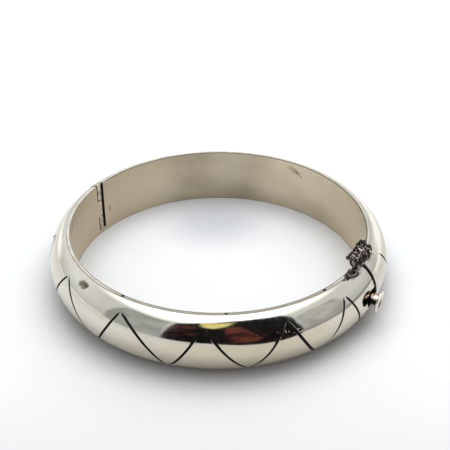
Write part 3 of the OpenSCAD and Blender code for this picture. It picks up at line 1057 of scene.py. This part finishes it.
def floor_reflected(tree, where):
    """The floor as the polished dome mirrors it, with a warm patch in front, a grey one at the back
    right, and painted light far to the left and at the back.
    """
    reach = reach_of(tree, where)
    warm = spot(tree, where, WARM_MID, 8.0, 60.0)
    colour = blend_colours(tree, warm, rgb(0.66, 0.66, 0.64), rgb(0.56, 0.505, 0.44))
    colour = blend_colours(tree, ramp(tree, reach, 0.05, 0.12), colour, rgb(0.575, 0.575, 0.56))
    grey = spot(tree, where, GREY_MID, 20.0, 40.0)
    colour = blend_colours(tree, grey, colour, rgb(0.5, 0.49, 0.47))
    # painted light: the reflected floor brighter far to the left and at the back
    lit_far_left = multiply(tree, ramp(tree, reach, 0.1, 0.4), across(tree, where, "X", 0, -100))
    colour = blend_colours(tree, lit_far_left, colour, rgb(0.86, 0.86, 0.84))
    return blend_colours(tree, across(tree, where, "Y", 30, 90), colour, rgb(0.78, 0.78, 0.76))


def reach_of(tree, where):
    return add(tree, "ShaderNodeVectorMath", {0: where}, operation="LENGTH").outputs["Value"]


def floor():
    bpy.ops.mesh.primitive_plane_add(size=FLOOR_SIZE)
    plane = bpy.context.object
    plane.name = "floor"
    material, tree, shader = bare_material("floor_white")
    shader.inputs["Metallic"].default_value = 0.0
    shader.inputs["Roughness"].default_value = 0.6
    shader.inputs["Specular IOR Level"].default_value = 0.1
    where = place(tree)
    mirrored = add(tree, "ShaderNodeLightPath").outputs["Is Glossy Ray"]
    colour = blend_colours(tree, mirrored, floor_with_painted_shadow(tree, where), floor_reflected(tree, where))
    tree.links.new(colour, shader.inputs["Base Color"])
    plane.data.materials.append(material)


def glow_card(name, verts, faces, dark, light):
    """A card of soft patches of two colours, seen only in reflections."""
    mesh = bpy.data.meshes.new(name)
    mesh.from_pydata([tuple(v) for v in verts], [], faces)
    obj = bpy.data.objects.new(name, mesh)
    bpy.context.scene.collection.objects.link(obj)
    material = bpy.data.materials.new(name)
    material.use_nodes = True
    tree = material.node_tree
    tree.nodes.clear()
    patches = ramp(tree, noise(tree, place(tree), 14), 0.35, 0.65)
    glow = add(tree, "ShaderNodeEmission", {"Color": blend_colours(tree, patches, dark, light)})
    add(tree, "ShaderNodeOutputMaterial", {"Surface": glow.outputs[0]})
    mesh.materials.append(material)
    obj.visible_camera = False
    obj.visible_diffuse = False
    obj.visible_shadow = False
    obj.visible_transmission = False


def on_sphere(radius, az, e):
    return at(az, radius*math.cos(math.radians(e)), radius*math.sin(math.radians(e)))*MM


def card(name, radius, outline, dark, light):
    """A card on a sphere round the object, whose outline is pairs of angle and elevation."""
    middle = [sum(c)/len(outline) for c in zip(*outline)]
    verts = [on_sphere(radius, *middle)]
    edge = []
    for (az0, e0), (az1, e1) in zip(outline, outline[1:] + outline[:1]):
        parts = [k/CARD_STEPS for k in range(CARD_STEPS)]
        edge += [(az0 + (az1 - az0)*t, e0 + (e1 - e0)*t) for t in parts]
    for part in (0.33, 0.66, 1.0):
        verts += [on_sphere(radius, *(m + (c - m)*part for m, c in zip(middle, point))) for point in edge]
    count = len(edge)
    faces = [(0, 1 + k, 1 + (k + 1) % count) for k in range(count)]
    for ring in (0, 1):
        a, b = 1 + ring*count, 1 + (ring + 1)*count
        faces += [(a + k, b + k, b + (k + 1) % count, a + (k + 1) % count) for k in range(count)]
    glow_card(name, verts, faces, dark, light)


def table_card(name, near, dark, light):
    """A strip lying on the floor from its near edge, pairs of angle and distance, outwards."""
    verts = [at(az, r, CARD_LIFT)*MM for az, r in near]
    verts += [at(az, CARD_REACH, CARD_LIFT)*MM for az, r in near]
    count = len(near)
    faces = [(k, k + 1, count + k + 1, count + k) for k in range(count - 1)]
    glow_card(name, verts, faces, dark, light)


def cards():
    """Dark and coloured cards in front, each an outline of (angle, elevation)."""
    black = rgb(0.004, 0.004, 0.005)
    card("card_black", 330, [
        (-94.6, 0), (-92.5, 46), (-84, 51), (-76, 54.5), (-50.6, 60), (-39, 59.4), (-26.7, 57.5),
        (-19, 54), (-12.5, 51), (-11.3, 41), (-13.3, 24), (-12.2, 4), (-12, 0)],
        black, rgb(0.012, 0.010, 0.010))
    card("card_rust", 325, [(-92.5, 39), (-77, 44), (-75, 20), (-92, 9)],
         rgb(0.006, 0.004, 0.004), rgb(0.11, 0.035, 0.025))
    card("card_red", 325, [(-57, 43), (-47, 43), (-42, 25), (-36, 5), (-40, 0), (-53, 0), (-58, 15)],
         rgb(0.02, 0.008, 0.006), rgb(0.19, 0.055, 0.04))
    card("card_straw", 325, [(-77, 55), (-50, 55), (-56, 46), (-65, 40), (-72, 43)],
         rgb(1.2, 1.1, 0.45), rgb(0.95, 0.8, 0.3))
    card("card_grey", 335, [(-132, 0), (-132, 46), (-113, 47), (-96, 47), (-94, 0)],
         rgb(0.6, 0.61, 0.58), rgb(0.42, 0.43, 0.41))
    card("card_smudge", 335, [(-11, 0), (-11, 36), (4, 40), (20, 34), (20, 0)],
         rgb(0.5, 0.5, 0.48), rgb(0.72, 0.71, 0.66))
    table_card("card_table", [
        (-62, 150), (-58, 111), (-52, 80), (-44, 65), (-33, 60), (-24, 66), (-19, 80)],
        black, rgb(0.02, 0.014, 0.012))
    table_card("card_mat", [(-18, 80), (-8, 85), (10, 90), (30, 100), (45, 120)],
               rgb(0.36, 0.355, 0.34), rgb(0.44, 0.43, 0.41))


def world():
    """A pale room, brighter at the back, at the left and overhead, with a window at the left."""
    scene = bpy.context.scene
    scene.world = bpy.data.worlds.new("studio")
    scene.world.use_nodes = True
    tree = scene.world.node_tree
    where = add(tree, "ShaderNodeTexCoord").outputs["Generated"]
    x, y, z = add(tree, "ShaderNodeSeparateXYZ", {"Vector": where}).outputs
    window = along(tree, where, WINDOW)
    horizon = blend_colours(tree, ramp(tree, y, 0.88, 0.99), rgb(0.73, 0.73, 0.71), rgb(1.5, 1.5, 1.48))
    horizon = blend_colours(tree, ramp(tree, x, 0.2, -0.7), horizon, rgb(0.8, 0.81, 0.78))
    horizon = blend_colours(tree, ramp(tree, window, 0.965, 0.998), horizon, rgb(1.6, 1.6, 1.57))
    sky = blend_colours(tree, ramp(tree, window, 0.5, 0.8), rgb(0.92, 0.92, 0.9), rgb(1.1, 1.1, 1.08))
    colour = blend_colours(tree, ramp(tree, z, 0.0, 0.45), horizon, sky)
    colour = blend_colours(tree, ramp(tree, z, 0.71, 0.9), colour, rgb(2.2, 2.2, 2.2))
    tree.links.new(colour, tree.nodes["Background"].inputs["Color"])


def lights():
    """One soft lamp, high behind the bangle."""
    data = bpy.data.lights.new("softbox", "AREA")
    data.shape = "RECTANGLE"
    data.size = 0.6
    data.size_y = 0.5
    data.energy = 1.6
    box = aimed(bpy.data.objects.new("softbox", data), LAMP, Vector((0, 0, 0)))
    box.visible_glossy = False


def silver_materials():
    """The materials of a half's slots, in order, up to the one of its loop."""
    return [
        polished_silver(),
        black_patina("engraving_black", rgb(0.006, 0.006, 0.005), rgb(0.02, 0.018, 0.015),
                     roughness=0.5, metallic=0.0, sheen=0.1),
        solder_seam(),
        rim_silver(),
        satin_liner(),
        black_patina("cut_dark", rgb(0.02, 0.018, 0.015), rgb(0.08, 0.065, 0.05),
                     roughness=0.45, metallic=0.6, sheen=0.5),
        knuckle_silver(),
        fitting_silver("fitting_silver", rgb(0.88, 0.83, 0.73), rgb(0.4, 0.33, 0.25))]


def dress():
    """Builds each piece on its body in the place of its node."""
    silver = silver_materials()
    oxide = oxidised_chain()
    for obj, node, body, slot in (
            (front_half(silver + [oxide]), "front_half", "bangle", "polished_silver"),
            (back_half(silver + [silver[FITTING]]), "back_half", "bangle", "polished_silver_back"),
            (thumb_catch(button_silver()), "thumb_catch", "catch", "catch_metal"),
            (safety_chain(oxide), "safety_chain", "bangle", "dark_silver")):
        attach(obj, body)
        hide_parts(node)
    pin = frame["nodes"]["hinge_pin"]
    pin.data.materials.clear()
    pin.data.materials.append(fitting_silver("pin_wire", rgb(0.6, 0.56, 0.5), rgb(0.2, 0.17, 0.14)))


dress()
camera()
floor()
cards()
world()
lights()
bpy.context.scene.view_settings.view_transform = "Standard"
